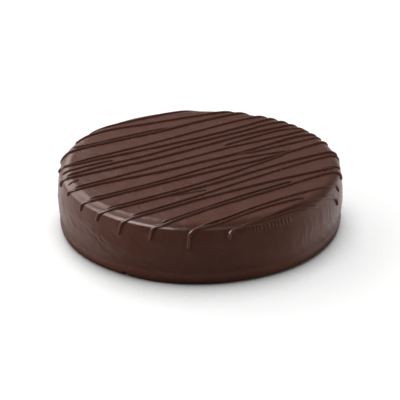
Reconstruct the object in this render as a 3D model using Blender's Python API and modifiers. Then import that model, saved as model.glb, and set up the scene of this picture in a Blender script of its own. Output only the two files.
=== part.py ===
"""A round cake under chocolate, with strands of chocolate drizzled to and fro across its top.

The origin is the centre of the flat underside, +Z is up and -Y is the front.
The cake is one solid: a turned body with a rounded rim, and the strands fused to it.
"""

import math

import bmesh
import bpy
from mathutils import Vector

MM = 0.001

# The coated body: a turned shape with a rounded rim, a side that swells a little and a small foot
HEIGHT = 45.4 * MM
RIM_RADIUS = 100.2 * MM
RIM_ROUNDING = 5.7 * MM
SIDE_SWELL = 1.4 * MM
NECK_RADIUS = 100.4 * MM
NECK_HEIGHT = 6.0 * MM
FOOT_RADIUS = 100.9 * MM
FOOT_HEIGHT = 3.0 * MM
REST_RADIUS = 99.4 * MM
BODY_STEPS = 96
ROUNDING_STEPS = 5
SIDE_STEPS = 7

# The coating runs a little uneven round the side: waves per turn, depth and turn of each
UNEVEN_WAVES = ((1, 0.45 * MM, 180.0), (3, 0.30 * MM, 40.0), (7, 0.15 * MM, 15.0))

# A small nick in the foot, at the front left
NICK_ANGLE = 238.5
NICK_WIDTH = 2.6 * MM
NICK_HEIGHT = 4.0 * MM
NICK_DEPTH = 1.8 * MM

# The drizzle. Its strands lie to and fro along U, which is turned from +X by this much
DRIZZLE_TURN = math.radians(28.0)
STRAND_RADIUS = 1.35 * MM
STRAND_SUNK = 0.15 * MM
STATIONS = (-60.0, -30.0, 0.0, 30.0, 60.0)
PATH_TOLERANCE = 0.12 * MM
PATH_STEPS = 12
LONGEST_SEGMENT = 30.0 * MM
TAIL_SHARE = 0.45

# Each pass: its thickness, its left end as (u, v) points, v where it crosses the stations between
# its ends, and its right end. Millimetres, on the top face as if it ran on flat beyond the rim.
PASSES = (
    (0.9, ((-48, 91),), (91.5, 92, 91), ((50, 88.5),)),
    (1.0, ((-61, 78), (-49, 83)), (85, 81.5, 78), ((60, 73.5), (73, 71.5))),
    (0.8, ((-67, 70),), (68.5, 69, 68.5), ((14, 65.5),)),
    (1.1, ((-84, 59.5), (-74, 63.5)), (65, 65, 64.5, 66.5, 66.5), ((74, 65.5), (81, 64.5))),
    (0.9, ((-84, 43.5),), (46.5, 47.5, 49.5, 52, 54), ((80, 53), (88, 52))),
    (1.0, ((-93, 47), (-84, 42.5)), (42.5, 41, 40.5, 41, 43), ((83, 45.5), (95, 44.5))),
    (0.8, ((-93, 34), (-80, 35)), (36,), ((-52, 35.5),)),
    (1.0, ((-91.5, 27.5),), (30.5, 31, 33.5, 34.5, 36), ((72, 37.5), (98, 36))),
    (1.1, ((-101, 28.5), (-93, 24)), (23, 23, 24.5, 27, 29), ((86, 28.5), (100, 27.5))),
    (0.6, ((-97, 15),), (), ((-87, 17.5),)),
    (0.9, ((30, 19.5),), (22.5,), ((78, 23.5), (92, 20.5), (101, 17.5))),
    (0.9, ((-95, 7),), (9, 11, 12.5, 14.5, 14), ((94, 14.5), (102, 15))),
    (1.1, ((-103, 9), (-95, 4), (-80, 4.5)), (3, 1.5, 2, 2.5, 5.5), ((80, 7.5), (102, 5.5))),
    (0.9, ((32, 1.5), (44, -1)), (-1,), ((90, -1), (102, -0.5))),
    (0.9, ((-94, -14.5),), (-13.5, -11.5, -8.5, -7, -10.5), ((71, -12.5),)),
    (1.1, ((-104, -13), (-95, -17)), (-17, -16, -15.5, -15.5, -14), ((95, -10), (103, -9.5))),
    (0.9, ((-90, -34),), (-32.5, -30.5, -27, -21.5), ((60, -15.5),)),
    (1.1, ((-101, -32), (-90, -36.5)), (-36.5, -35.5, -33.5, -30, -27.5), ((88, -27.5), (100, -28.5))),
    (0.5, ((-45, -38),), (-39.5,), ((-17, -41),)),
    (0.9, ((-80, -52.5),), (-50.5, -47, -42.5, -38.5, -35), ((90, -33.5), (101, -35))),
    (1.1, ((-97, -53), (-88, -52.5), (-80, -55)), (-54, -52, -51, -50.5, -51.5), ((79, -52.5),)),
    (0.7, ((72, -49.5),), (), ((87, -51),)),
    (0.9, ((-67, -71),), (-70.5, -65.5, -61, -58), ((41, -57.5),)),
    (1.1, ((-79, -70), (-70, -72)), (-73.5, -68.5, -65.5, -62.5, -59), ((77, -58.5), (88, -59.5))),
    (0.9, ((-47, -87.5),), (-87, -81, -77.5, -76), ((71, -72), (80, -73.5))),
    (1.0, ((-62, -96.5), (-54, -88.5), (-43, -89)), (-90.5, -85.5, -84), ((35, -85.5),)),
    (1.1, ((-32, -104), (-28, -99.5), (-20, -99)), (-97, -90.5, -84.5), ((73, -81.5), (80, -84))),
    (0.9, ((-21, -99),), (-98.5, -95), ((45, -94),)),
)

CHOCOLATE = (0.045, 0.022, 0.016, 1.0)


def side_radius(height):
    """The side's radius at a height: foot, shallow neck, then a gentle swell up to the rim."""
    if height < NECK_HEIGHT:
        share = max(height - FOOT_HEIGHT, 0.0) / (NECK_HEIGHT - FOOT_HEIGHT)
        return FOOT_RADIUS + (NECK_RADIUS - FOOT_RADIUS) * share
    share = min((height - NECK_HEIGHT) / (HEIGHT - RIM_ROUNDING - NECK_HEIGHT), 1.0)
    return NECK_RADIUS + (RIM_RADIUS - NECK_RADIUS) * share + SIDE_SWELL * math.sin(math.pi * share)


def unevenness(angle):
    return sum(
        depth * math.cos(waves * angle - math.radians(turn)) for waves, depth, turn in UNEVEN_WAVES
    )


def body_profile():
    """(radius, height) from the edge of the flat top, round the rim and down to the underside."""
    flat_radius = RIM_RADIUS - RIM_ROUNDING
    points = []
    for step in range(ROUNDING_STEPS + 1):
        tilt = math.pi / 2 * step / ROUNDING_STEPS
        drop = RIM_ROUNDING * (1 - math.cos(tilt))
        points.append((flat_radius + RIM_ROUNDING * math.sin(tilt), HEIGHT - drop))
    side_top = HEIGHT - RIM_ROUNDING
    for step in range(1, SIDE_STEPS + 1):
        height = side_top + (NECK_HEIGHT - side_top) * step / SIDE_STEPS
        points.append((side_radius(height), height))
    points.append((FOOT_RADIUS, FOOT_HEIGHT))
    points.append((FOOT_RADIUS - 0.3 * MM, 1.2 * MM))
    points.append((REST_RADIUS, 0.0))
    return points


def on_cake(x, y, lift):
    """Folds a point of the flat plan over the rim, and lifts it clear of the surface there."""
    flat = math.hypot(x, y)
    beyond = flat - (RIM_RADIUS - RIM_ROUNDING)
    if beyond <= 0:
        return Vector((x, y, HEIGHT + lift))
    tilt = min(beyond / RIM_ROUNDING, math.pi / 2)
    height = HEIGHT - RIM_ROUNDING * (1 - math.cos(tilt))
    radius = RIM_RADIUS - RIM_ROUNDING + RIM_ROUNDING * math.sin(tilt)
    below = beyond - RIM_ROUNDING * math.pi / 2
    if below > 0:
        height -= below
        radius = side_radius(height)
    angle = math.atan2(y, x)
    radius += (unevenness(angle) + lift) * math.sin(tilt)
    return Vector((radius * math.cos(angle), radius * math.sin(angle), height + lift * math.cos(tilt)))


def smooth_curve(points, steps):
    """Points on a smooth curve through the given (u, v) points, which are spaced unevenly."""
    points = [Vector(point) for point in points]
    padded = [2 * points[0] - points[1], *points, 2 * points[-1] - points[-2]]
    curve = []
    for before, start, end, after in zip(padded, padded[1:], padded[2:], padded[3:]):
        length = (end - start).length
        slope_in = (end - before) * length / (length + (start - before).length)
        slope_out = (after - start) * length / (length + (after - end).length)
        for step in range(steps):
            t = step / steps
            curve.append(
                start * (1 + 2 * t) * (1 - t) ** 2
                + slope_in * t * (1 - t) ** 2
                + end * t * t * (3 - 2 * t)
                - slope_out * t * t * (1 - t)
            )
    return [*curve, points[-1]]


def thinned(points, tolerance):
    """Drops the points that a straight stretch between the ones kept doesn't need."""
    first, last = points[0], points[-1]
    along = (last - first).normalized()
    gaps = [((p - first) - along * (p - first).dot(along)).length for p in points[1:-1]]
    too_long = (last - first).length > LONGEST_SEGMENT
    if not gaps or (max(gaps) < tolerance and not too_long):
        return [first, last]
    split = 1 + (gaps.index(max(gaps)) if max(gaps) >= tolerance else len(gaps) // 2)
    return thinned(points[: split + 1], tolerance)[:-1] + thinned(points[split:], tolerance)


def strand_path(drizzle_pass):
    """The pass on the cake, in metres, from its left end to its right end."""
    _, left, crossings, right = drizzle_pass
    between = [u for u in STATIONS if left[-1][0] < u < right[0][0]]
    plan = [*left, *zip(between, crossings, strict=True), *right]
    cos_turn, sin_turn = math.cos(DRIZZLE_TURN), math.sin(DRIZZLE_TURN)
    path = []
    for u, v in smooth_curve(plan, PATH_STEPS):
        x = (u * cos_turn - v * sin_turn) * MM
        y = (u * sin_turn + v * cos_turn) * MM
        path.append(on_cake(x, y, -STRAND_SUNK))
    return thinned(path, PATH_TOLERANCE)


def mesh_object(name, mesh, collection):
    made = bpy.data.objects.new(name, mesh)
    collection.objects.link(made)
    return made


def strand(number, drizzle_pass, collection):
    """One strand of drizzle: a bevelled curve with thin tails, made a closed mesh."""
    path = strand_path(drizzle_pass)
    thickness = drizzle_pass[0]
    curve = bpy.data.curves.new(f"strand_{number:02d}_path", "CURVE")
    curve.dimensions = "3D"
    curve.bevel_depth = STRAND_RADIUS
    curve.bevel_resolution = 2
    curve.use_fill_caps = True
    spline = curve.splines.new("POLY")
    spline.points.add(len(path) - 1)
    for point, place in zip(spline.points, path):
        point.co = (*place, 1.0)
        point.radius = thickness
    spline.points[0].radius = spline.points[-1].radius = thickness * TAIL_SHARE
    guide = bpy.data.objects.new(f"strand_{number:02d}_guide", curve)
    bpy.context.scene.collection.objects.link(guide)
    bpy.context.view_layer.update()
    mesh = bpy.data.meshes.new_from_object(guide.evaluated_get(bpy.context.evaluated_depsgraph_get()))
    bpy.data.objects.remove(guide)
    bm = bmesh.new()
    bm.from_mesh(mesh)
    bmesh.ops.remove_doubles(bm, verts=bm.verts, dist=0.001 * MM)
    bm.to_mesh(mesh)
    bm.free()
    return mesh_object(f"strand_{number:02d}", mesh, collection)


def applied(obj):
    """Gives the object its evaluated mesh in place of its modifiers."""
    bpy.context.view_layer.update()
    mesh = bpy.data.meshes.new_from_object(obj.evaluated_get(bpy.context.evaluated_depsgraph_get()))
    obj.modifiers.clear()
    obj.data = mesh


def coated_body(collection):
    """The turned body, closed top and bottom, with its side a little uneven."""
    mesh = bpy.data.meshes.new("chocolate_cake")
    bm = bmesh.new()
    verts = [bm.verts.new((radius, 0.0, height)) for radius, height in body_profile()]
    for upper, lower in zip(verts, verts[1:]):
        bm.edges.new((upper, lower))
    bm.to_mesh(mesh)
    bm.free()
    body = mesh_object("chocolate_cake", mesh, collection)
    screw = body.modifiers.new("turned", "SCREW")
    screw.axis = "Z"
    screw.steps = screw.render_steps = BODY_STEPS
    screw.use_merge_vertices = True
    screw.merge_threshold = 0.01 * MM
    applied(body)
    bm = bmesh.new()
    bm.from_mesh(body.data)
    bmesh.ops.holes_fill(bm, edges=bm.edges, sides=0)
    for vert in bm.verts:
        radius = math.hypot(vert.co.x, vert.co.y)
        share = min((radius - RIM_RADIUS) / RIM_ROUNDING + 1, 1)
        wider = 1 + share * unevenness(math.atan2(vert.co.y, vert.co.x)) / radius
        vert.co.x *= wider
        vert.co.y *= wider
    bmesh.ops.recalc_face_normals(bm, faces=bm.faces)
    bm.to_mesh(body.data)
    bm.free()
    return body


def foot_nick(collection):
    """The cutter of the nick: a prism that points up, lying along the radius."""
    angle = math.radians(NICK_ANGLE)
    reach = 6 * MM
    radius = FOOT_RADIUS - NICK_DEPTH + reach / 2
    bpy.ops.mesh.primitive_cube_add(size=1.0)
    cutter = bpy.context.object
    cutter.name = "foot_nick"
    for vert in cutter.data.vertices:
        vert.co.x *= reach
        vert.co.y, vert.co.z = (vert.co.y - vert.co.z) * NICK_WIDTH / 2, (vert.co.y + vert.co.z) * NICK_HEIGHT
    cutter.location = (radius * math.cos(angle), radius * math.sin(angle), 0.0)
    cutter.rotation_euler.z = angle
    cutter.users_collection[0].objects.unlink(cutter)
    collection.objects.link(cutter)
    cutter.hide_render = True
    cutter.display_type = "WIRE"
    return cutter


def chocolate_material():
    material = bpy.data.materials.new("chocolate")
    material.use_nodes = True
    shader = material.node_tree.nodes["Principled BSDF"]
    shader.inputs["Base Color"].default_value = CHOCOLATE
    shader.inputs["Roughness"].default_value = 0.35
    shader.inputs["Metallic"].default_value = 0.0
    return material


def main():
    for obj in list(bpy.data.objects):
        bpy.data.objects.remove(obj)
    cake_parts = bpy.data.collections.new("chocolate_cake")
    cutters = bpy.data.collections.new("cutters")
    strands = bpy.data.collections.new("strands")
    for collection in (cake_parts, cutters, strands):
        bpy.context.scene.collection.children.link(collection)

    cake = coated_body(cake_parts)
    nick = cake.modifiers.new("nick", "BOOLEAN")
    nick.operation = "DIFFERENCE"
    nick.object = foot_nick(cutters)
    applied(cake)

    for number, drizzle_pass in enumerate(PASSES, start=1):
        strand(number, drizzle_pass, strands)
    fuse = cake.modifiers.new("drizzle", "BOOLEAN")
    fuse.operation = "UNION"
    fuse.operand_type = "COLLECTION"
    fuse.collection = strands
    applied(cake)
    for piece in list(strands.objects):
        bpy.data.objects.remove(piece)
    bpy.data.collections.remove(strands)

    cake.data.name = "chocolate_cake"
    cake.data.materials.clear()
    cake.data.materials.append(chocolate_material())
    cake.data.shade_smooth()
    cake.data.set_sharp_from_angle(angle=math.radians(40))


main()
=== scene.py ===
import math
import random

import bmesh
import bpy
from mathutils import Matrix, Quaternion, Vector


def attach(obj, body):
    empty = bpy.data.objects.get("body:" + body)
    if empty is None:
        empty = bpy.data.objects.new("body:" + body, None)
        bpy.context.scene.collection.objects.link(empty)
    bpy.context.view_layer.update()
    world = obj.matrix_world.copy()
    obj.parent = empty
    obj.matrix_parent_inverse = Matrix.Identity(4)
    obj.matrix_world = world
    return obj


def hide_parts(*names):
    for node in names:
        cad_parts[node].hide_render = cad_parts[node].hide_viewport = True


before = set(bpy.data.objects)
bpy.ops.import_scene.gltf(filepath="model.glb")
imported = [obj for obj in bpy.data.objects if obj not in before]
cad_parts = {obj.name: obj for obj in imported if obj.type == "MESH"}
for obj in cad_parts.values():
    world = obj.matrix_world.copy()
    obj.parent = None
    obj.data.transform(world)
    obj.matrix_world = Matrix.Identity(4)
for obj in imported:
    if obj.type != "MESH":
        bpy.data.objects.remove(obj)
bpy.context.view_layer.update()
print("frame loaded")

# Lengths in the settings are millimetres, and become metres through mm.
mm = 0.001

# The coated cake: a rounded rim, a side that swells a little, a shallow neck and a small foot
coating = {
    "height": 45.4,
    "rimRadius": 100.2,
    "rimRounding": 5.7,
    "sideSwell": 1.4,
    "neckRadius": 100.6,
    "neckHeight": 9.0,
    "footRadius": 100.9,
    "footHeight": 6.5,
    "restRadius": 97.6,
    "sides": 1200,
    "rimSegments": 9,
    "sideRings": 38,
    # rings of the top, from the rim inwards, and then evenly
    "rimRings": (0.6, 0.6, 0.8, 1.0, 1.4, 2.0, 3.0),
    "topRingWidth": 4.0,
    # the coating's own rim is softer than a plain rounding: its width, its depth, how full the curve is,
    # and how far from the plain rounding it is looked for
    "softRim": {"across": 8.5, "down": 6.0, "power": 2.35, "within": 1.5},
    # the whole coating is faintly uneven, as it set on crumb: size of the swells and how deep
    "ripple": {"size": 10.0, "depth": 0.22},
    "reliefReach": 2.5,  # the most that the relief stands out or sinks in
    "ridgeStrength": 1.7,
    "ridgeReach": 3.0,  # in half widths, past which a ridge adds nothing
    "ridgeEnds": {"cut": 0.05, "power": 0.7},  # how a ridge fades in and out along its line
    "sideTilt": 1.2,  # ridges start where the rim has turned this far down, in radians
    "flatBelow": 0.5,  # what ends up lower than this is pressed flat
    "smoothAngle": 50.0,
    # waves per turn, depth and turn in degrees: the coating runs a little uneven round the side
    "unevenWaves": ((1, 0.45, 180.0), (3, 0.30, 40.0), (7, 0.15, 15.0)),
    # soft ridges where the coating ran down or was smoothed: depth, half width and (angle, height) along each
    "ridges": (
        (0.34, 2.0, (203, 20), (210, 22), (217, 21.5), (223, 19), (229, 15.5)),
        (0.30, 2.0, (211, 32), (221, 29.5), (229, 26.5), (236, 23.5), (242, 20), (247, 17)),
        (0.24, 1.7, (231, 37), (238, 33), (243, 28), (248, 24)),
        (0.14, 1.3, (202, 29), (208, 31), (214, 30)),
        (0.12, 0.9, (233, 31), (234.5, 27), (237, 24)),
        (0.05, 1.3, (314.6, 37), (315.4, 30), (315.2, 23)),
        (0.05, 1.3, (318.6, 34), (318.9, 28), (318.4, 21)),
        (0.16, 2.6, (326, 38), (326.8, 30), (327.5, 23), (329, 17)),
        (0.20, 2.0, (316, 17.5), (323, 18), (330, 19), (336, 21)),
        (0.18, 1.6, (326, 15), (329, 11), (332, 6)),
        (0.18, 1.6, (331, 18), (335, 12), (338, 6)),
        (0.18, 1.6, (336, 19), (340, 12), (344, 6)),
        (0.06, 2.2, (333, 37), (334, 30), (335, 24)),
        (0.06, 2.2, (346, 36), (346, 29), (347, 22), (349, 15)),
    ),
    # a row of short runs hangs just below the lowest strand: first and last angle, step, top and bottom
    # height, how far each leans round, and how unlike each other they are
    "runs": {
        "from": 286.0,
        "to": 307.5,
        "step": 1.6,
        "top": 41.5,
        "bottom": 37.3,
        "lean": 0.5,
        "depth": 0.42,
        "halfWidth": 0.65,
        "unlike": {"bottom": (-1.0, 0.6), "depth": (0.7, 1.1), "step": (0.85, 1.15)},
    },
    # a small nick in the foot
    "nick": {"angle": 238.5, "halfWidth": 1.2, "height": 4.0, "depth": 1.8},
    "strewnBend": 0.6,  # the most that a strewn ridge bends, as a share of its drop
    # finer ridges strewn by chance: count, first and last angle, lowest and highest start, how far each
    # runs round and down, depth and half width; the last row stands for the side that nobody saw
    "strewn": (
        (70, (192, 250), (10, 37), (3, 9), (2, 7), (0.06, 0.18), (0.7, 1.4)),
        (26, (312, 350), (16, 39), (-2, 2), (6, 16), (0.03, 0.09), (0.8, 1.8)),
        (10, (246, 312), (14, 34), (-4, 4), (1, 6), (0.03, 0.07), (1.0, 2.0)),
        (60, (-8, 194), (14, 38), (-6, 8), (1, 9), (0.05, 0.18), (0.7, 2.0)),
    ),
}


def sideRadius(height):
    if height < coating["footHeight"]:
        share = math.sqrt(1 - (1 - max(height, 0.0) / coating["footHeight"]) ** 2)
        return coating["restRadius"] + (coating["footRadius"] - coating["restRadius"]) * share
    if height < coating["neckHeight"]:
        share = (height - coating["footHeight"]) / (coating["neckHeight"] - coating["footHeight"])
        return coating["footRadius"] + (coating["neckRadius"] - coating["footRadius"]) * share
    wall = coating["height"] - coating["rimRounding"] - coating["neckHeight"]
    share = min((height - coating["neckHeight"]) / wall, 1.0)
    straight = coating["neckRadius"] + (coating["rimRadius"] - coating["neckRadius"]) * share
    return straight + coating["sideSwell"] * math.sin(math.pi * share)


def unevenness(angle):
    waves = coating["unevenWaves"]
    return sum(depth * math.cos(count * angle - math.radians(turn)) for count, depth, turn in waves)


flatRadius = coating["rimRadius"] - coating["rimRounding"]
rimArc = coating["rimRounding"] * math.pi / 2


def surfaceAt(arc):
    # radius, height and tilt where the surface is arc beyond the edge of the flat top
    if arc <= 0:
        return flatRadius + arc, coating["height"], 0.0
    tilt = min(arc / coating["rimRounding"], math.pi / 2)
    height = coating["height"] - coating["rimRounding"] * (1 - math.cos(tilt))
    if arc < rimArc:
        return flatRadius + coating["rimRounding"] * math.sin(tilt), height, tilt
    height -= arc - rimArc
    return sideRadius(height), height, tilt


def arcOf(radius, height):
    sideTop = coating["height"] - coating["rimRounding"]
    if height <= sideTop:
        return rimArc + sideTop - height
    if radius <= flatRadius:
        return radius - flatRadius
    return coating["rimRounding"] * math.atan2(radius - flatRadius, height - sideTop)


def strewnRidges():
    chance = random.Random(11)
    ridges = []
    for count, angles, heights, rounds, drops, depths, halfWidths in coating["strewn"]:
        for _ in range(count):
            angle, height = chance.uniform(*angles), chance.uniform(*heights)
            ahead, drop = chance.uniform(*rounds), chance.uniform(*drops)
            bend = chance.uniform(-coating["strewnBend"], coating["strewnBend"])
            shares = (0, 0.33, 0.67, 1)
            points = [(angle + ahead * t, height - drop * (t + bend * t * (1 - t))) for t in shares]
            ridges.append((chance.uniform(*depths), chance.uniform(*halfWidths), *points))
    return ridges


def alongSide(angle, height):
    # a place on the side as if it were unrolled flat
    return Vector((math.radians(angle) * coating["footRadius"], height))


def ridgeLines():
    # each ridge as its depth, its half width and its line on the unrolled side
    lines = []
    for depth, halfWidth, *points in (*coating["ridges"], *strewnRidges()):
        line = [alongSide(angle % 360, height) for angle, height in points]
        lines.append((depth, halfWidth, line))
    runs = coating["runs"]
    unlike = runs["unlike"]
    chance = random.Random(4)
    angle = runs["from"]
    while angle <= runs["to"]:
        bottom = runs["bottom"] + chance.uniform(*unlike["bottom"])
        line = [alongSide(angle, runs["top"]), alongSide(angle + runs["lean"], bottom)]
        lines.append((runs["depth"] * chance.uniform(*unlike["depth"]), runs["halfWidth"], line))
        angle += runs["step"] * chance.uniform(*unlike["step"])
    return lines


def ridgesByDegree():
    # which ridges reach each degree of the side
    near = [[] for _ in range(360)]
    for depth, halfWidth, line in ridgeLines():
        reach = coating["ridgeReach"] * halfWidth
        angles = [math.degrees(point.x / coating["footRadius"]) for point in line]
        wider = math.degrees(reach / coating["footRadius"]) + 1
        for degree in range(int(min(angles) - wider), int(max(angles) + wider) + 1):
            near[degree % 360].append((depth, halfWidth, line))
    return near


ridges = ridgesByDegree()


def heightOfRidge(place, depth, halfWidth, line):
    # a soft rounded ridge that fades out at both ends
    total = sum((after - before).length for before, after in zip(line, line[1:]))
    distance, along, walked = coating["ridgeReach"] * halfWidth, 0.0, 0.0
    for before, after in zip(line, line[1:]):
        step = after - before
        share = min(max((place - before).dot(step) / step.length_squared, 0.0), 1.0)
        away = (place - before - step * share).length
        if away < distance:
            distance, along = away, walked + share * step.length
        walked += step.length
    ends = coating["ridgeEnds"]
    through = (along / total) * (1 - 2 * ends["cut"]) + ends["cut"]
    fade = math.sin(math.pi * min(max(through, 0.0), 1.0)) ** ends["power"]
    return depth * fade * math.exp(-((distance / halfWidth) ** 2))


def softening(arc):
    # how far the soft rim lies outside the plain rounding, found by halving
    soft = coating["softRim"]
    radius, height, tilt = surfaceAt(arc)

    def fullness(lift):
        across = (radius + lift * math.sin(tilt) - coating["rimRadius"]) / soft["across"] + 1
        down = (height + lift * math.cos(tilt) - coating["height"]) / soft["down"] + 1
        return max(across, 0.0) ** soft["power"] + max(down, 0.0) ** soft["power"]

    low, high = -soft["within"], soft["within"]
    for _ in range(20):
        middle = (low + high) / 2
        low, high = (low, middle) if fullness(middle) > 1 else (middle, high)
    return low


softStart, softStep, softCount = -5.0, 0.25, 60
softTable = [softening(softStart + softStep * step) for step in range(softCount)]


def relief(angle, arc):
    # how far the coating stands out from the plain turned shape, along its normal
    height, tilt = surfaceAt(arc)[1:]
    out = unevenness(angle) * math.sin(tilt)
    row = (arc - softStart) / softStep
    if 0 < row < softCount - 1:
        before, after = softTable[int(row)], softTable[int(row) + 1]
        out += before + (after - before) * (row - int(row))
    if tilt > coating["sideTilt"]:
        place = alongSide(math.degrees(angle) % 360, height)
        near = ridges[int(math.degrees(angle)) % 360]
        out += coating["ridgeStrength"] * sum(heightOfRidge(place, *ridge) for ridge in near)
        nick = coating["nick"]
        across = (place.x - alongSide(nick["angle"], 0).x) / nick["halfWidth"]
        out -= nick["depth"] * math.exp(-(across**2)) * max(1 - height / nick["height"], 0.0)
    return out


def onCake(x, y, lift):
    # folds a point of the flat plan over the rim, and lifts it clear of the surface there
    angle = math.atan2(y, x)
    arc = math.hypot(x, y) - flatRadius
    radius, height, tilt = surfaceAt(arc)
    lift += relief(angle, arc)
    radius += lift * math.sin(tilt)
    height += lift * math.cos(tilt)
    return Vector((radius * math.cos(angle), radius * math.sin(angle), height)) * mm


# Modelling helpers
def selectOnly(piece):
    bpy.ops.object.select_all(action="DESELECT")
    piece.select_set(True)
    bpy.context.view_layer.objects.active = piece


def startEditing(piece, kind):
    selectOnly(piece)
    bpy.ops.object.mode_set(mode="EDIT")
    bpy.ops.mesh.select_mode(type=kind)
    bpy.ops.mesh.select_all(action="DESELECT")


def pick(piece, kind, wanted):
    # selects only those verts, edges or faces
    bpy.ops.mesh.select_all(action="DESELECT")
    bm = bmesh.from_edit_mesh(piece.data)
    for item in getattr(bm, kind):
        if wanted(item):
            item.select_set(True)
    bmesh.update_edit_mesh(piece.data)


def stopEditing():
    bpy.ops.object.mode_set(mode="OBJECT")


def applyAll(piece):
    selectOnly(piece)
    for modifier in list(piece.modifiers):
        bpy.ops.object.modifier_apply(modifier=modifier.name)


def middleOf(edge):
    return (edge.verts[0].co + edge.verts[1].co) / 2


# The coated cake
def makeCoatedCake():
    height = coating["height"] * mm
    near = 0.1 * mm
    bpy.ops.object.select_all(action="DESELECT")
    bpy.ops.mesh.primitive_cylinder_add(
        vertices=coating["sides"],
        radius=coating["rimRadius"] * mm,
        depth=height,
        location=(0, 0, height / 2),
    )
    cake = bpy.context.object
    cake.name = cake.data.name = "coatedCake"
    bpy.ops.object.transform_apply(location=True, rotation=True, scale=True)

    startEditing(cake, "EDGE")
    pick(cake, "edges", lambda edge: middleOf(edge).z > height - near)
    bpy.ops.mesh.bevel(
        offset=coating["rimRounding"] * mm,
        segments=coating["rimSegments"],
        profile=0.5,
        affect="EDGES",
        clamp_overlap=False,
    )
    pick(cake, "edges", lambda edge: abs(edge.verts[0].co.z - edge.verts[1].co.z) > height / 2)
    bpy.ops.mesh.subdivide(number_cuts=coating["sideRings"] - 1)

    # the top's one face is inset ring by ring, and closed in the middle
    bpy.ops.mesh.select_mode(type="FACE")
    pick(cake, "faces", lambda face: face.normal.z > 0.99 and len(face.verts) > 4)
    evenRings = int((flatRadius - sum(coating["rimRings"])) / coating["topRingWidth"])
    for width in (*coating["rimRings"], *[coating["topRingWidth"]] * evenRings):
        bpy.ops.mesh.inset(thickness=width * mm)
    bpy.ops.mesh.poke()

    # each ring of the side is drawn out or in to its radius
    bpy.ops.mesh.select_mode(type="VERT")
    sideTop = (coating["height"] - coating["rimRounding"]) * mm
    for ring in range(coating["sideRings"] + 1):
        z = sideTop * ring / coating["sideRings"]
        pick(cake, "verts", lambda vert: abs(vert.co.z - z) < near)
        wider = sideRadius(z / mm) / coating["rimRadius"]
        bpy.ops.transform.resize(value=(wider, wider, 1), center_override=(0, 0, z))
    stopEditing()

    # the relief is weighed onto two groups, one that stands out and one that sinks in
    swollen = cake.vertex_groups.new(name="swollen")
    sunken = cake.vertex_groups.new(name="sunken")
    for vert in cake.data.vertices:
        x, y, z = vert.co / mm
        depth = relief(math.atan2(y, x), arcOf(math.hypot(x, y), z)) / coating["reliefReach"]
        (swollen if depth > 0 else sunken).add([vert.index], abs(depth), "REPLACE")
    for group, way in ((swollen, 1), (sunken, -1)):
        displace = cake.modifiers.new(group.name, "DISPLACE")
        displace.vertex_group = group.name
        displace.mid_level = 0.0
        displace.strength = way * coating["reliefReach"] * mm
    swells = bpy.data.textures.new("swells", "CLOUDS")
    swells.noise_scale = coating["ripple"]["size"] * mm
    swells.noise_depth = 1
    ripple = cake.modifiers.new("ripple", "DISPLACE")
    ripple.texture = swells
    ripple.strength = coating["ripple"]["depth"] * mm
    applyAll(cake)
    cake.vertex_groups.clear()
    startEditing(cake, "VERT")
    pick(cake, "verts", lambda vert: vert.co.z < coating["flatBelow"] * mm)
    bpy.ops.transform.resize(value=(1, 1, 0), center_override=(0, 0, 0))
    stopEditing()
    bpy.ops.object.shade_smooth_by_angle(angle=math.radians(coating["smoothAngle"]))
    return cake


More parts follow.
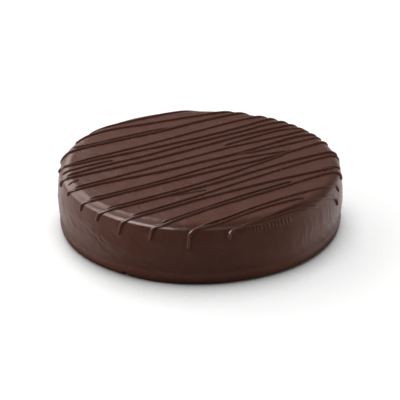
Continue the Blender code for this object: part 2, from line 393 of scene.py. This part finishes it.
# The drizzle: its passes lie to and fro along u, which is turned from +X
drizzle = {
    "turn": 28.0,
    "stations": (-60.0, -30.0, 0.0, 30.0, 60.0),
    "spacing": 1.1,  # between the points of a strand
    "noseLength": 2.5,  # over this length both ends narrow
    "tail": 0.55,  # to this share of the width
    # how much the width wavers, in how many waves, and their slowest and fastest rate per millimetre
    "unsteady": {"amount": 0.05, "waves": 4, "rates": (0.08, 0.5)},
    "curveSteps": 12,
    "smoothAngle": 60.0,
    # half of the strand's section, from the crest to the foot, as (sideways, up)
    "section": (
        (0.0, 1.1),
        (0.42, 1.03),
        (0.8, 0.76),
        (1.02, 0.36),
        (1.08, 0.0),
        (1.2, -0.14),
        (1.3, -0.45),
    ),
    # past the rim's edge a drip spreads from this arc to this one, to this many times its width
    "dripSpreads": (4.0, 9.0, 1.2),
    # each pass: its thickness, its left end as (u, v) points, v where it crosses the stations between
    # its ends, and its right end, on the top as if it ran on flat beyond the rim
    "passes": (
        (0.9, ((-48, 91),), (91.5, 92, 91), ((50, 88.5),)),
        (1.0, ((-61, 78), (-49, 83)), (85, 81.5, 78), ((60, 73.5), (73, 71.5))),
        (0.8, ((-67, 70),), (68.5, 69, 68.5), ((14, 65.5),)),
        (1.1, ((-84, 59.5), (-74, 63.5)), (65, 65, 64.5, 66.5, 66.5), ((74, 65.5), (81, 64.5))),
        (0.9, ((-84, 43.5),), (46.5, 47.5, 49.5, 52, 54), ((80, 53), (88, 52))),
        (1.0, ((-92, 47), (-88, 44), (-80, 42)), (42, 41, 40.5, 41, 43), ((83, 45.5), (95, 44.5))),
        (0.8, ((-93, 34), (-80, 35)), (36,), ((-52, 35.5),)),
        (1.0, ((-91.5, 27.5),), (30.5, 31, 33.5, 34.5, 36), ((72, 37.5), (98, 36))),
        (
            1.1,
            ((-101, 29), (-97.5, 27), (-94, 24.5), (-90, 23.5)),
            (23, 23, 24.5, 27, 29),
            ((86, 28.5), (100, 27.5)),
        ),
        (0.6, ((-97, 15),), (), ((-87, 17.5),)),
        (0.9, ((30, 19.5),), (22.5,), ((78, 23.5), (92, 20.5), (101, 17.5))),
        (0.9, ((-95, 7),), (9, 11, 12.5, 14.5, 14), ((94, 14.5), (102, 15))),
        (
            1.1,
            ((-103, 9), (-100, 7.5), (-97.5, 5), (-94, 3.5), (-80, 4)),
            (3, 1.5, 2, 2.5, 5.5),
            ((80, 7.5), (102, 5.5)),
        ),
        (0.9, ((32, 1.5), (44, -1)), (-1,), ((90, -1), (102, -0.5))),
        (0.9, ((-94, -14.5),), (-13.5, -11.5, -8.5, -7, -10.5), ((71, -12.5),)),
        (
            1.1,
            ((-105.5, -13), (-102, -13), (-99.5, -14), (-96.5, -16), (-92, -18), (-84, -18)),
            (-17, -16, -15.5, -15.5, -14),
            ((95, -10), (103, -9.5)),
        ),
        (0.9, ((-90, -34),), (-32.5, -30.5, -27, -21.5), ((60, -15.5),)),
        (
            1.1,
            ((-102.5, -32), (-99.5, -31.5), (-97, -32), (-94.5, -33.5), (-91, -35.5), (-87, -37)),
            (-36.5, -35.5, -33.5, -30, -27.5),
            ((88, -27.5), (100, -28.5)),
        ),
        (0.5, ((-45, -38),), (-39.5,), ((-17, -41),)),
        (0.9, ((-80, -52.5),), (-50.5, -47, -42.5, -38.5, -35), ((90, -33.5), (101, -35))),
        (
            1.1,
            ((-97, -53.5), (-91.5, -51.5), (-88.5, -51.5), (-85.5, -52.5), (-82, -54), (-76, -55.5)),
            (-54.5, -52, -51, -50.5, -51.5),
            ((79, -52.5),),
        ),
        (0.7, ((72, -49.5),), (), ((87, -51),)),
        (0.9, ((-67, -71),), (-70.5, -65.5, -61, -58), ((41, -57.5),)),
        (
            1.1,
            ((-81.5, -74), (-76, -70.5), (-72, -70.5), (-67.5, -73)),
            (-73.5, -68.5, -65.5, -62.5, -59),
            ((77, -58.5), (88, -59.5)),
        ),
        (0.9, ((-47, -87.5),), (-87, -81, -77.5, -76), ((71, -72), (80, -73.5))),
        (
            1.0,
            ((-62, -96.5), (-56.5, -89), (-54, -87.5), (-49.5, -87.5), (-42, -89.5)),
            (-90.5, -85.5, -84),
            ((35, -85.5),),
        ),
        (
            1.1,
            ((-32, -104.5), (-30, -100.5), (-27, -99), (-20, -99)),
            (-97, -90.5, -84.5),
            ((73, -81.5), (80, -84)),
        ),
        (0.9, ((-21, -99),), (-98.5, -95), ((45, -94),)),
    ),
}


def smoothCurve(points, steps):
    points = [Vector(point) for point in points]
    padded = [2 * points[0] - points[1], *points, 2 * points[-1] - points[-2]]
    curve = []
    for before, start, end, after in zip(padded, padded[1:], padded[2:], padded[3:]):
        length = (end - start).length
        slopeIn = (end - before) * length / (length + (start - before).length)
        slopeOut = (after - start) * length / (length + (after - end).length)
        for step in range(steps):
            t = step / steps
            curve.append(
                start * (1 + 2 * t) * (1 - t) ** 2
                + slopeIn * t * (1 - t) ** 2
                + end * t * t * (3 - 2 * t)
                - slopeOut * t * t * (1 - t)
            )
    return [*curve, points[-1]]


def evenlySpaced(points, spacing):
    # the same path as points one spacing apart, each with its distance from the start
    lengths = [0.0]
    for before, after in zip(points, points[1:]):
        lengths.append(lengths[-1] + (after - before).length)
    count = max(int(lengths[-1] / spacing), 4)
    spaced = []
    piece = 0
    for step in range(count + 1):
        target = lengths[-1] * step / count
        while piece < len(points) - 2 and lengths[piece + 1] < target:
            piece += 1
        share = (target - lengths[piece]) / (lengths[piece + 1] - lengths[piece])
        spaced.append((points[piece].lerp(points[piece + 1], share), target))
    return spaced, lengths[-1]


def makeSection():
    bpy.ops.object.select_all(action="DESELECT")
    bpy.ops.curve.primitive_bezier_circle_add()
    section = bpy.context.object
    section.name = "strandSection"
    section.data.splines.clear()
    half = drizzle["section"]
    outline = [*half, *[(-x, y) for x, y in reversed(half) if x > 0]]
    spline = section.data.splines.new("POLY")
    spline.points.add(len(outline) - 1)
    for point, (x, y) in zip(spline.points, outline):
        point.co = (x * mm, y * mm, 0, 1)
    spline.use_cyclic_u = True
    return section


def makeStrand(drizzlePass, section, chance):
    thickness, left, crossings, right = drizzlePass
    between = [u for u in drizzle["stations"] if left[-1][0] < u < right[0][0]]
    plan = [*left, *zip(between, crossings), *right]
    turn = math.radians(drizzle["turn"])
    turned = [
        Vector((u * math.cos(turn) - v * math.sin(turn), u * math.sin(turn) + v * math.cos(turn)))
        for u, v in plan
    ]
    path, length = evenlySpaced(smoothCurve(turned, drizzle["curveSteps"]), drizzle["spacing"])
    unsteady = drizzle["unsteady"]
    waves = [(chance.uniform(*unsteady["rates"]), chance.uniform(0, 6.28)) for _ in range(unsteady["waves"])]

    bpy.ops.object.select_all(action="DESELECT")
    bpy.ops.curve.primitive_bezier_curve_add()
    strand = bpy.context.object
    strand.data.dimensions = "2D"
    strand.data.fill_mode = "NONE"
    strand.data.splines.clear()
    spline = strand.data.splines.new("POLY")
    spline.points.add(len(path) - 1)
    spreadFrom, spreadTo, spreadWidth = drizzle["dripSpreads"]
    for point, (place, along) in zip(spline.points, path):
        past = min(max((place.length - flatRadius - spreadFrom) / (spreadTo - spreadFrom), 0.0), 1.0)
        toEnd = min(max(min(along, length - along), 0.0) / drizzle["noseLength"], 1.0)
        nose = drizzle["tail"] + (1 - drizzle["tail"]) * math.sqrt(toEnd * (2 - toEnd))
        wobble = 1 + unsteady["amount"] * sum(math.sin(rate * along + phase) for rate, phase in waves) / 2
        point.co = (place.x * mm, place.y * mm, 0, 1)
        point.radius = thickness * nose * wobble * (1 + (spreadWidth - 1) * past)
    strand.data.bevel_mode = "OBJECT"
    strand.data.bevel_object = section
    strand.data.use_fill_caps = True
    bpy.ops.object.convert(target="MESH")
    return bpy.context.object


def makeDrizzle():
    chance = random.Random(5)
    section = makeSection()
    strands = [makeStrand(drizzlePass, section, chance) for drizzlePass in drizzle["passes"]]
    bpy.ops.object.select_all(action="DESELECT")
    for strand in strands:
        strand.select_set(True)
    bpy.context.view_layer.objects.active = strands[0]
    bpy.ops.object.join()
    strands = bpy.context.object
    strands.name = strands.data.name = "drizzle"
    bpy.data.objects.remove(section)
    # no modifier follows a rounded rim all the way round, so the flat strands are folded over it here
    for vert in strands.data.vertices:
        x, y, z = vert.co / mm
        vert.co = onCake(x, y, z)
    startEditing(strands, "VERT")
    bpy.ops.mesh.select_all(action="SELECT")
    bpy.ops.mesh.remove_doubles(threshold=0.001 * mm)
    bpy.ops.mesh.normals_make_consistent(inside=False)
    stopEditing()
    bpy.ops.object.shade_smooth_by_angle(angle=math.radians(drizzle["smoothAngle"]))
    return strands


# Materials
chocolate = {
    "colour": (0.076, 0.0272, 0.0168, 1),
    "drizzleColour": (0.072, 0.0248, 0.0152, 1),
    "bloom": (0.086, 0.0365, 0.0255, 1),  # where the coating looks a little dusty
    # painted shade in the creases beside the strands: the colour, how far it reaches, and how open a place
    # is where it is full and where it ends
    "creaseShade": (0.014, 0.0035, 0.0022, 1),
    "creaseShadeReach": 2.2,
    "creaseShadeRange": (0.45, 0.85),
    # drips down the side on the left get a lighter colour, which is painted light, and the painted
    # crease shade there is only this strong: the change lies between these two heights and these two
    # distances to the right of the middle
    "litDripColour": (0.118, 0.048, 0.033, 1),
    "dripHeights": (43.0, 38.0),
    "dripAcross": (60.0, 30.0),
    "sideCreaseShade": 0.35,
    "shine": 0.5,
    "ior": 1.5,
    "roughness": 0.24,
    "mottleSize": 14.0,
    "mottleAmount": 0.45,
    "mottleRange": (0.35, 0.70),
    "speckSize": 1.1,
    "speckAmount": 0.08,
    "speckRange": (0.45, 0.80),
    "rippleSize": 7.0,
    "rippleDepth": 0.11,
    "rippleTwist": 0.4,
    "glossRange": (0.3, 0.7, 0.82, 1.18),  # between these of the ripple, the roughness is this many times
    "grainSize": 0.9,
    "grainDepth": 0.018,
}


def addNode(tree, kind, inputs=None, **settings):
    node = tree.nodes.new(kind)
    for name, value in settings.items():
        setattr(node, name, value)
    for name, value in (inputs or {}).items():
        if isinstance(value, bpy.types.NodeSocket):
            tree.links.new(value, node.inputs[name])
        else:
            node.inputs[name].default_value = value
    return node


def ramp(tree, value, start, end, low=0.0, high=1.0, kind="SMOOTHSTEP"):
    inputs = {"Value": value, "From Min": start, "From Max": end, "To Min": low, "To Max": high}
    return addNode(tree, "ShaderNodeMapRange", inputs, interpolation_type=kind).outputs["Result"]


def calculate(tree, operation, *values, **settings):
    node = addNode(tree, "ShaderNodeMath", dict(enumerate(values)), operation=operation, **settings)
    return node.outputs["Value"]


def blend(tree, share, first, second, kind="FLOAT"):
    # first where share is 0, second where it is 1
    inputs = {"Factor": share, "A": first, "B": second}
    return addNode(tree, "ShaderNodeMix", inputs, data_type=kind).outputs["Result"]


def noise(tree, place, scale, detail, distortion=0.0):
    inputs = {"Vector": place, "Scale": scale, "Detail": detail, "Distortion": distortion}
    return addNode(tree, "ShaderNodeTexNoise", inputs).outputs["Fac"]


def openWithin(tree, reach):
    # 1 in the open, less where something else is within reach
    return addNode(tree, "ShaderNodeAmbientOcclusion", {"Distance": reach}, samples=8).outputs["AO"]


def newGroup(name, inputs, outputs):
    # inputs are (name, kind, default) and outputs (name, kind), kind being Float, Color or Vector
    group = bpy.data.node_groups.new(name, "ShaderNodeTree")
    sockets = group.interface
    for label, kind, value in inputs:
        socket = sockets.new_socket(name=label, in_out="INPUT", socket_type="NodeSocket" + kind)
        socket.default_value = value
    for label, kind in outputs:
        sockets.new_socket(name=label, in_out="OUTPUT", socket_type="NodeSocket" + kind)
    given = group.nodes.new("NodeGroupInput").outputs
    return group, given, group.nodes.new("NodeGroupOutput").inputs


def makeMottleAndPaintedLight():
    # cloudy patches and fine specks between two browns; painted shade darkens and dulls the creases beside
    # the strands; down the side on the left it is fainter and drips get a lighter colour, painted light
    inputs = (
        ("Vector", "Vector", (0, 0, 0)),
        ("Colour", "Color", chocolate["colour"]),
        ("Lit Side Colour", "Color", chocolate["colour"]),
        ("Bloom", "Color", chocolate["bloom"]),
        ("Patch Scale", "Float", 1 / (chocolate["mottleSize"] * mm)),
        ("Patch Amount", "Float", chocolate["mottleAmount"]),
        ("Speck Scale", "Float", 1 / (chocolate["speckSize"] * mm)),
        ("Speck Amount", "Float", chocolate["speckAmount"]),
        ("Crease Shade Colour", "Color", chocolate["creaseShade"]),
        ("Crease Shade Reach", "Float", chocolate["creaseShadeReach"] * mm),
        ("Side Crease Shade", "Float", chocolate["sideCreaseShade"]),
        ("Shine", "Float", chocolate["shine"]),
    )
    group, given, out = newGroup("chocolateMottleAndPaintedLight", inputs, (("Colour", "Color"), ("Shine", "Float")))
    place = given["Vector"]
    patches = ramp(group, noise(group, place, given["Patch Scale"], 3.0), *chocolate["mottleRange"])
    specks = ramp(group, noise(group, place, given["Speck Scale"], 1.0), *chocolate["speckRange"])
    cloudy = calculate(group, "MULTIPLY", patches, given["Patch Amount"])
    dusty = calculate(group, "MULTIPLY_ADD", specks, given["Speck Amount"], cloudy, use_clamp=True)

    # painted light: a lighter colour for drips low on the side and towards the left
    axes = addNode(group, "ShaderNodeSeparateXYZ", {"Vector": place}).outputs
    down = ramp(group, axes["Z"], *[height * mm for height in chocolate["dripHeights"]], kind="LINEAR")
    leftward = ramp(group, axes["X"], *[x * mm for x in chocolate["dripAcross"]], kind="LINEAR")
    litSide = calculate(group, "MULTIPLY", down, leftward)
    brownWithPaintedLight = blend(group, litSide, given["Colour"], given["Lit Side Colour"], "RGBA")
    mottled = blend(group, dusty, brownWithPaintedLight, given["Bloom"], "RGBA")

    deepest = ramp(group, litSide, 0.0, 1.0, 1.0, given["Side Crease Shade"], kind="LINEAR")
    shallow = calculate(group, "SUBTRACT", 1.0, deepest)
    # painted shade: a darker colour and less shine where other surfaces are near, as in the creases
    near = openWithin(group, given["Crease Shade Reach"])
    clear = ramp(group, near, *chocolate["creaseShadeRange"], shallow, 1.0, kind="LINEAR")
    creaseShaded = blend(group, clear, given["Crease Shade Colour"], mottled, "RGBA")
    group.links.new(creaseShaded, out["Colour"])
    group.links.new(calculate(group, "MULTIPLY", clear, given["Shine"]), out["Shine"])
    return group


def makeSetSurface():
    # the faint ripple and grain of chocolate that set on the cake, and its uneven gloss
    inputs = (
        ("Vector", "Vector", (0, 0, 0)),
        ("Roughness", "Float", chocolate["roughness"]),
        ("Ripple Scale", "Float", 1 / (chocolate["rippleSize"] * mm)),
        ("Ripple Depth", "Float", chocolate["rippleDepth"] * mm),
        ("Grain Scale", "Float", 1 / (chocolate["grainSize"] * mm)),
        ("Grain Depth", "Float", chocolate["grainDepth"] * mm),
    )
    group, given, out = newGroup("setChocolate", inputs, (("Roughness", "Float"), ("Height", "Float")))
    place = given["Vector"]
    ripple = noise(group, place, given["Ripple Scale"], 2.0, chocolate["rippleTwist"])
    grain = noise(group, place, given["Grain Scale"], 2.0)
    low = calculate(group, "MULTIPLY", ripple, given["Ripple Depth"])
    height = calculate(group, "MULTIPLY_ADD", grain, given["Grain Depth"], low)
    uneven = ramp(group, ripple, *chocolate["glossRange"], kind="LINEAR")
    group.links.new(calculate(group, "MULTIPLY", given["Roughness"], uneven), out["Roughness"])
    group.links.new(height, out["Height"])
    return group


def makeChocolate(name, mottleAndPaintedLight, setSurface, finish):
    # finish names the values in which this chocolate differs
    material = bpy.data.materials.new(name)
    material.use_nodes = True
    tree = material.node_tree
    shader = tree.nodes["Principled BSDF"]
    shader.inputs["IOR"].default_value = chocolate["ior"]
    place = addNode(tree, "ShaderNodeTexCoord").outputs["Object"]
    colour = addNode(tree, "ShaderNodeGroup", node_tree=mottleAndPaintedLight)
    surface = addNode(tree, "ShaderNodeGroup", node_tree=setSurface)
    for node in (colour, surface):
        tree.links.new(place, node.inputs["Vector"])
        for socket, value in finish.items():
            if socket in node.inputs:
                node.inputs[socket].default_value = value
    relief = {"Height": surface.outputs["Height"], "Distance": 1.0, "Strength": 1.0}
    bump = addNode(tree, "ShaderNodeBump", relief)
    tree.links.new(colour.outputs["Colour"], shader.inputs["Base Color"])
    # the shine comes in cut in the creases, as part of the painted crease shade
    tree.links.new(colour.outputs["Shine"], shader.inputs["Specular IOR Level"])
    tree.links.new(surface.outputs["Roughness"], shader.inputs["Roughness"])
    tree.links.new(bump.outputs["Normal"], shader.inputs["Normal"])
    return material


cake = makeCoatedCake()
print("coated cake:", len(cake.data.polygons), "faces")
strands = makeDrizzle()
print("drizzle:", len(strands.data.polygons), "faces")

mottleAndPaintedLight, setSurface = makeMottleAndPaintedLight(), makeSetSurface()
drizzleFinish = {
    "Colour": chocolate["drizzleColour"],
    # the drips on the left take a lighter colour: painted light
    "Lit Side Colour": chocolate["litDripColour"],
    "Roughness": 0.18,
    "Patch Amount": 0.2,
    "Ripple Depth": 0.02 * mm,
}
coatingChocolate = makeChocolate("coatingChocolate", mottleAndPaintedLight, setSurface, {})
drizzleChocolate = makeChocolate("drizzleChocolate", mottleAndPaintedLight, setSurface, drizzleFinish)
for piece, material in ((cake, coatingChocolate), (strands, drizzleChocolate)):
    piece.data.materials.clear()
    piece.data.materials.append(material)
    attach(piece, "root")
    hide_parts("chocolate_cake")
print("materials made")

# The studio: a plain pale floor and soft lights all round, the strongest at the left and behind
studio = {
    "floorSize": 12.0,
    "floorColour": (0.285, 0.305, 0.310, 1),
    "floorGlow": 0.77,
    # a painted contact shadow: how open the floor is to the sky, from none of its glow to all of it, seen and
    # mirrored
    "contactReach": 60.0,
    "contact": (0.42, 0.77),
    # the painted shadow lies more to the front: openness gained per metre backwards, and from where
    "contactLean": 1.2,
    "leanFrom": -70.0,
    "mirroredContact": (0.58, 0.72),
    "lights": (
        # name, azimuth, elevation, width, height, brightness, and whether only its shine, only its light
        # or both count
        ("backLight", 115.0, 33.0, 0.75, 0.95, 2.2, "both"),
        ("backFill", 118.0, 34.0, 1.20, 0.80, 6.8, "fill"),
        ("backLeftLight", 152.0, 22.0, 1.50, 0.70, 2.5, "both"),
        ("leftLight", 190.0, 29.0, 0.75, 1.15, 4.6, "both"),
        ("frontLeftLight", 215.0, 38.0, 0.75, 0.58, 2.6, "both"),
        ("frontLight", 290.0, 30.0, 0.75, 0.70, 0.8, "both"),
        ("leftFill", 182.0, 14.0, 0.90, 0.60, 2.2, "fill"),
        ("rimShine", 224.0, 30.0, 1.30, 0.75, 6.6, "shine"),
        ("overheadShine", 165.0, 66.0, 1.60, 0.80, 0.8, "shine"),
        ("highShine", 154.0, 41.0, 0.95, 0.60, 1.3, "shine"),
        ("frontFill", 298.0, 4.0, 1.20, 0.40, 1.2, "fill"),
        ("rightFill", 354.0, 8.0, 1.20, 0.70, 4.6, "fill"),
    ),
    "lightDistance": 1.6,
    "warmth": (1.0, 0.922, 0.895),
    # the room as the chocolate mirrors it: ground and horizon each with an azimuth, how far towards it
    # the change starts and ends, and the brightness before and after; then the sky's brightness, and how
    # far up the horizon and the sky start and are full
    "ground": (270.0, -0.25, 0.4, 0.75, 0.2),
    "horizon": (100.0, -0.5, 0.5, 0.03, 0.65),
    "sky": 0.2,
    "horizonRises": (-0.30, -0.04),
    "skyRises": (0.06, 0.30),
}


def makeLight(name, azimuth, elevation, width, height, brightness, counts):
    light = bpy.data.lights.new(name, "AREA")
    light.shape = "RECTANGLE"
    light.size = width
    light.size_y = height
    light.energy = brightness * math.pi * width * height
    light.color = studio["warmth"]
    lamp = bpy.data.objects.new(name, light)
    bpy.context.scene.collection.objects.link(lamp)
    around, above = math.radians(azimuth), math.radians(elevation)
    level = math.cos(above)
    towards = Vector((math.cos(around) * level, math.sin(around) * level, math.sin(above)))
    lamp.location = towards * studio["lightDistance"]
    lamp.rotation_euler = (-towards).to_track_quat("-Z", "Y").to_euler()
    lamp.visible_diffuse = counts != "shine"
    lamp.visible_glossy = counts != "fill"


def makeWorld():
    world = bpy.data.worlds.new("studio")
    bpy.context.scene.world = world
    world.use_nodes = True
    tree = world.node_tree
    towards = addNode(tree, "ShaderNodeTexCoord").outputs["Generated"]
    up = addNode(tree, "ShaderNodeSeparateXYZ", {"Vector": towards}).outputs["Z"]

    def across(azimuth, start, end, low, high):
        around = math.radians(azimuth)
        inputs = {0: towards, 1: (math.cos(around), math.sin(around), 0)}
        along = addNode(tree, "ShaderNodeVectorMath", inputs, operation="DOT_PRODUCT").outputs["Value"]
        return ramp(tree, along, start, end, low, high)

    horizonShare = ramp(tree, up, *studio["horizonRises"])
    lower = blend(tree, horizonShare, across(*studio["ground"]), across(*studio["horizon"]))
    room = blend(tree, ramp(tree, up, *studio["skyRises"]), lower, studio["sky"])
    seen = addNode(tree, "ShaderNodeLightPath").outputs["Is Camera Ray"]
    background = tree.nodes["Background"].inputs
    tree.links.new(blend(tree, seen, room, 1.0), background["Strength"])
    background["Color"].default_value = (*studio["warmth"], 1)


def makeFloor():
    # pale paper for the camera that also glows, the glow faded close to the cake and more to the front as a
    # painted shadow; all other light passes it and comes from the room's ground, dimmed close to the cake
    # as painted shade
    bpy.ops.object.select_all(action="DESELECT")
    bpy.ops.mesh.primitive_plane_add(size=studio["floorSize"])
    floor = bpy.context.object
    floor.name = "floor"
    material = bpy.data.materials.new("paleFloor")
    material.use_nodes = True
    tree = material.node_tree
    openSky = openWithin(tree, studio["contactReach"] * mm)
    place = addNode(tree, "ShaderNodeTexCoord").outputs["Object"]
    backwards = addNode(tree, "ShaderNodeSeparateXYZ", {"Vector": place}).outputs["Y"]
    fromFront = calculate(tree, "SUBTRACT", backwards, studio["leanFrom"] * mm)
    openToEye = calculate(tree, "MULTIPLY_ADD", fromFront, studio["contactLean"], openSky)
    lit = ramp(tree, openToEye, *studio["contact"], 0.0, studio["floorGlow"], kind="LINEAR")
    mirrored = ramp(tree, openSky, *studio["mirroredContact"], kind="LINEAR")

    paper = addNode(tree, "ShaderNodeBsdfDiffuse", {"Color": studio["floorColour"]})
    glow = addNode(tree, "ShaderNodeEmission", {"Strength": lit})
    both = addNode(tree, "ShaderNodeAddShader", {0: paper.outputs["BSDF"], 1: glow.outputs["Emission"]})
    through = addNode(tree, "ShaderNodeBsdfTransparent", {"Color": mirrored})
    seen = addNode(tree, "ShaderNodeLightPath").outputs["Is Camera Ray"]
    sides = {0: seen, 1: through.outputs["BSDF"], 2: both.outputs["Shader"]}
    mix = addNode(tree, "ShaderNodeMixShader", sides)
    tree.links.new(mix.outputs["Shader"], tree.nodes["Material Output"].inputs["Surface"])
    floor.data.materials.append(material)
    floor.visible_shadow = False


makeFloor()
for light in studio["lights"]:
    makeLight(*light)
makeWorld()

# The camera stands as the photograph's did
view = {
    "distance": 1600.0,
    "elevation": 25.43,
    "targetHeight": 16.69,
    "lens": 200.7,
    "roll": -0.52,
    "shiftX": -0.00115,
}
cameraData = bpy.data.cameras.new("camera")
camera = bpy.data.objects.new("camera", cameraData)
bpy.context.scene.collection.objects.link(camera)
elevation = math.radians(view["elevation"])
back = Vector((0, -math.cos(elevation), math.sin(elevation)))
camera.location = (Vector((0, 0, view["targetHeight"])) + back * view["distance"]) * mm
camera.rotation_mode = "QUATERNION"
upright = Quaternion((1, 0, 0), math.pi / 2 - elevation)
camera.rotation_quaternion = upright @ Quaternion((0, 0, 1), math.radians(view["roll"]))
cameraData.lens = view["lens"]
cameraData.shift_x = view["shiftX"]
bpy.context.scene.camera = camera
bpy.context.scene.view_settings.view_transform = "Standard"
print("studio and camera set")
